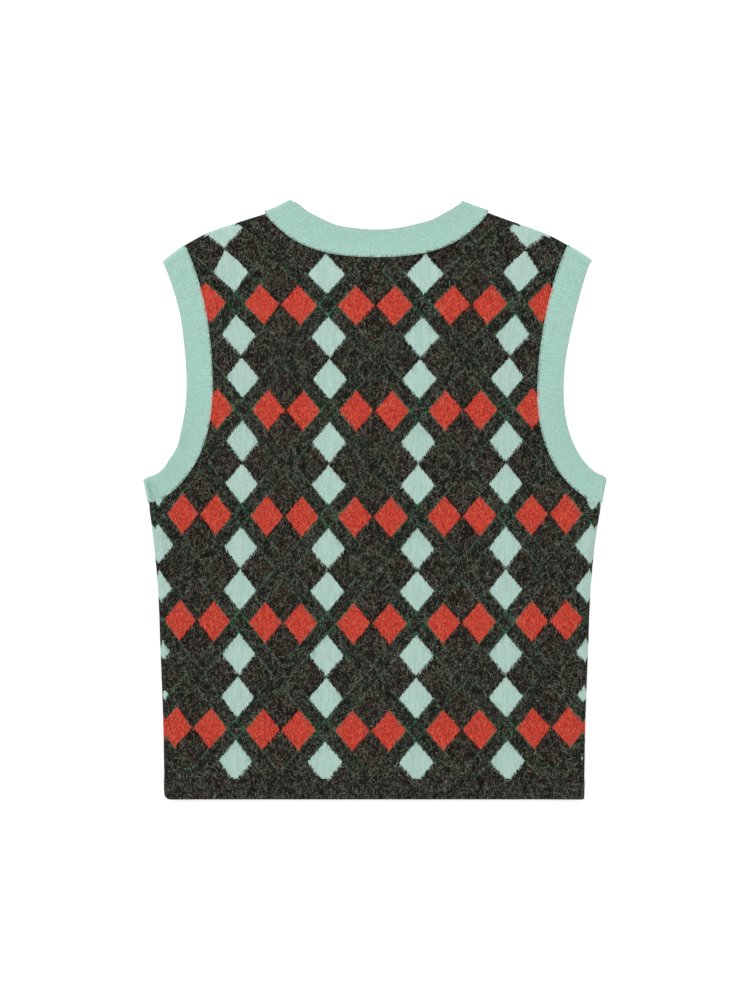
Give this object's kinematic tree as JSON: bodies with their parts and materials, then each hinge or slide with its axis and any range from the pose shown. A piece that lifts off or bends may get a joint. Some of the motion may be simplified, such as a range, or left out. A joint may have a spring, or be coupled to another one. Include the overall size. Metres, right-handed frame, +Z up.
{
  "type": "knitted sweater vest laid flat",
  "caption": "Sleeveless knitted vest laid flat, back up: dark brown body with mint and red argyle diamonds, and mint bands round the neck and armholes.",
  "frame": {"origin": "on the surface that the vest lies on, under the middle of its outline", "axes": "+Z up from that surface, with the back of the vest up; +Y from the hem towards the neck; +X to the right of the back as seen from above"},
  "size_m": [0.4498, 0.5824, 0.0096],
  "materials": {
    "argyle_knit": "brushed argyle knit",
    "mint_rib": "soft ribbed knit",
    "dark_knit": "brushed plain knit"
  },
  "bodies": {
    "root": {"back_panel": "argyle_knit", "front_panel": "argyle_knit", "neck_band": "mint_rib", "armhole_band_left": "mint_rib", "armhole_band_right": "mint_rib", "hem_band": "dark_knit"}
  },
  "joints": []
}
